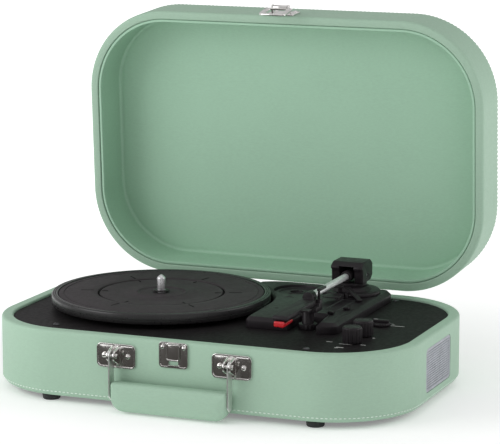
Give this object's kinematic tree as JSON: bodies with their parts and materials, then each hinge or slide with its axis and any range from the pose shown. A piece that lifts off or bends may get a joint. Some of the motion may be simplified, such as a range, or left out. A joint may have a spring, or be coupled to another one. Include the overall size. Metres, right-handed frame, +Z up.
{
  "type": "suitcase record player",
  "caption": "Portable suitcase turntable: mint wrapped case with side speakers, hinged lid on a hasp latch, carry handle, belt-driven platter, tone arm and control knobs.",
  "frame": {"origin": "centre of the bounding box on the floor plane, under the feet, with the lid open", "axes": "+X to the player's right along the front, +Y to the back, +Z up; the handle and latch face -Y"},
  "size_m": [0.36, 0.2976, 0.3034],
  "materials": {
    "leatherette": "grained mint leatherette, wrapped over wood board",
    "lining": "matte green lining on board",
    "card": "black board",
    "black_rubber": "matte black rubber or felt",
    "grey_plastic": "blue-grey moulded plastic",
    "black_plastic": "black satin moulded plastic",
    "board": "green circuit board",
    "black_steel": "blackened steel screws",
    "steel": "plain steel",
    "chrome": "bright nickel plate",
    "brass": "turned brass",
    "aluminium": "satin aluminium tube",
    "red_plastic": "red moulded plastic"
  },
  "bodies": {
    "case": {"lower_case": "leatherette", "bottom_panel": "card", "speaker_left": "card", "speaker_right": "card", "foot_front_left": "black_rubber", "foot_front_right": "black_rubber", "foot_back_left": "black_rubber", "foot_back_right": "black_rubber", "drive_belt": "black_rubber", "grille_left": "grey_plastic", "grille_right": "grey_plastic", "jack_panel": "black_plastic", "plinth_plate": "black_plastic", "spindle_clip": "black_plastic", "tonearm_deck": "black_plastic", "tonearm_base": "black_plastic", "arm_rest": "black_plastic", "cue_stand": "black_plastic", "circuit_board": "board", "plinth_screw_1": "black_steel", "plinth_screw_2": "black_steel", "plinth_screw_3": "black_steel", "motor": "steel", "volume_potentiometer": "steel", "pitch_potentiometer": "steel", "function_potentiometer": "steel", "hinge_lower_leaf_left": "steel", "hinge_lower_leaf_right": "steel", "spindle": "chrome", "latch_plate": "chrome", "handle_bracket_left": "chrome", "handle_bracket_right": "chrome"},
    "lid": {"lid_shell": "leatherette", "lid_lining": "lining", "lid_latch_plate": "chrome", "hinge_upper_leaf_left": "steel", "hinge_upper_leaf_right": "steel"},
    "hasp": {"latch_hasp": "chrome"},
    "latch_tongue": {"latch_tongue": "chrome"},
    "handle": {"handle_grip": "leatherette", "handle_arm_left": "steel", "handle_arm_right": "steel"},
    "platter": {"platter": "black_plastic", "platter_mat": "black_rubber"},
    "motor_pulley": {"motor_pulley": "brass"},
    "arm_housing": {"tonearm_housing": "black_plastic", "tonearm_pivot_pin": "steel"},
    "arm": {"tonearm_tube": "aluminium", "headshell": "black_plastic", "cartridge": "black_plastic", "stylus": "red_plastic"},
    "rest_clip": {"arm_rest_clip": "black_plastic"},
    "cue_lever": {"cue_lever": "black_plastic"},
    "cue_lift": {"cue_lift": "black_plastic"},
    "volume_knob": {"volume_knob": "black_plastic"},
    "pitch_knob": {"pitch_knob": "black_plastic"},
    "function_knob": {"function_knob": "black_plastic"},
    "speed_selector": {"speed_selector": "black_plastic"},
    "auto_stop_switch": {"auto_stop_switch": "black_plastic"},
    "adapter": {"adapter_45": "black_plastic"}
  },
  "joints": [
    {"name": "lid_hinge", "type": "hinge", "parent": "case", "child": "lid", "pos_m": [0, 0.1017, 0.0585], "axis": [1, 0, 0], "range_deg": [0, 86.8]},
    {"name": "hasp_hinge", "type": "hinge", "parent": "lid", "child": "hasp", "pos_m": [0, 0.09306, 0.3009], "axis": [-1, 0, 0], "range_deg": [0, 95]},
    {"name": "tongue_slide", "type": "slide", "parent": "case", "child": "latch_tongue", "axis": [0, 0, -1], "range_m": [0, 0.0025], "stiffness_N_per_m": 200},
    {"name": "handle_swing", "type": "hinge", "parent": "case", "child": "handle", "pos_m": [0, -0.1425, 0.0455], "axis": [-1, 0, 0], "range_deg": [0, 90]},
    {"name": "platter_spin", "type": "hinge", "parent": "case", "child": "platter", "pos_m": [-0.066, -0.0103, 0.065], "axis": [0, 0, -1], "continuous": true},
    {"name": "pulley_spin", "type": "hinge", "parent": "case", "child": "motor_pulley", "pos_m": [-0.112, -0.0563, 0.063], "axis": [0, 0, -1], "continuous": true},
    {"name": "arm_swing", "type": "hinge", "parent": "case", "child": "arm_housing", "pos_m": [0.0775, 0.0593, 0.077], "axis": [0, 0, -1], "range_deg": [0, 45]},
    {"name": "arm_lift", "type": "hinge", "parent": "arm_housing", "child": "arm", "pos_m": [0.0775, 0.0603, 0.083], "axis": [-1, 0, 0], "range_deg": [0, 6]},
    {"name": "clip_hinge", "type": "hinge", "parent": "case", "child": "rest_clip", "pos_m": [0.0845, -0.0364, 0.088], "axis": [0, 0, 1], "range_deg": [0, 90]},
    {"name": "cue_lever_hinge", "type": "hinge", "parent": "case", "child": "cue_lever", "pos_m": [0.088, 0.0326, 0.0704], "axis": [-1, 0, 0], "range_deg": [0, 25]},
    {"name": "cue_lift_slide", "type": "slide", "parent": "case", "child": "cue_lift", "axis": [0, 0, 1], "range_m": [0, 0.002], "stiffness_N_per_m": 0.1, "springref_m": 0.03},
    {"name": "volume_turn", "type": "hinge", "parent": "case", "child": "volume_knob", "pos_m": [0.128, -0.0777, 0.065], "axis": [0, 0, -1], "range_deg": [0, 280]},
    {"name": "pitch_turn", "type": "hinge", "parent": "case", "child": "pitch_knob", "pos_m": [0.128, -0.0517, 0.065], "axis": [0, 0, -1], "range_deg": [-140, 140]},
    {"name": "function_turn", "type": "hinge", "parent": "case", "child": "function_knob", "pos_m": [0.129, -0.0117, 0.061], "axis": [0, 0, -1], "range_deg": [-45, 45]},
    {"name": "speed_select", "type": "slide", "parent": "case", "child": "speed_selector", "axis": [0, 1, 0], "range_m": [0, 0.003]},
    {"name": "auto_stop_select", "type": "slide", "parent": "case", "child": "auto_stop_switch", "axis": [0, 1, 0], "range_m": [0, 0.003]},
    {"name": "adapter_pull", "type": "slide", "parent": "case", "child": "adapter", "axis": [0, 0, 1], "range_m": [0, 0.025]}
  ],
  "couplings": [
    {"joint": "pulley_spin", "follows": "platter_spin", "ratio": 11.875},
    {"joint": "cue_lever_hinge", "follows": "cue_lift_slide", "rad_per_m": 218.16}
  ]
}
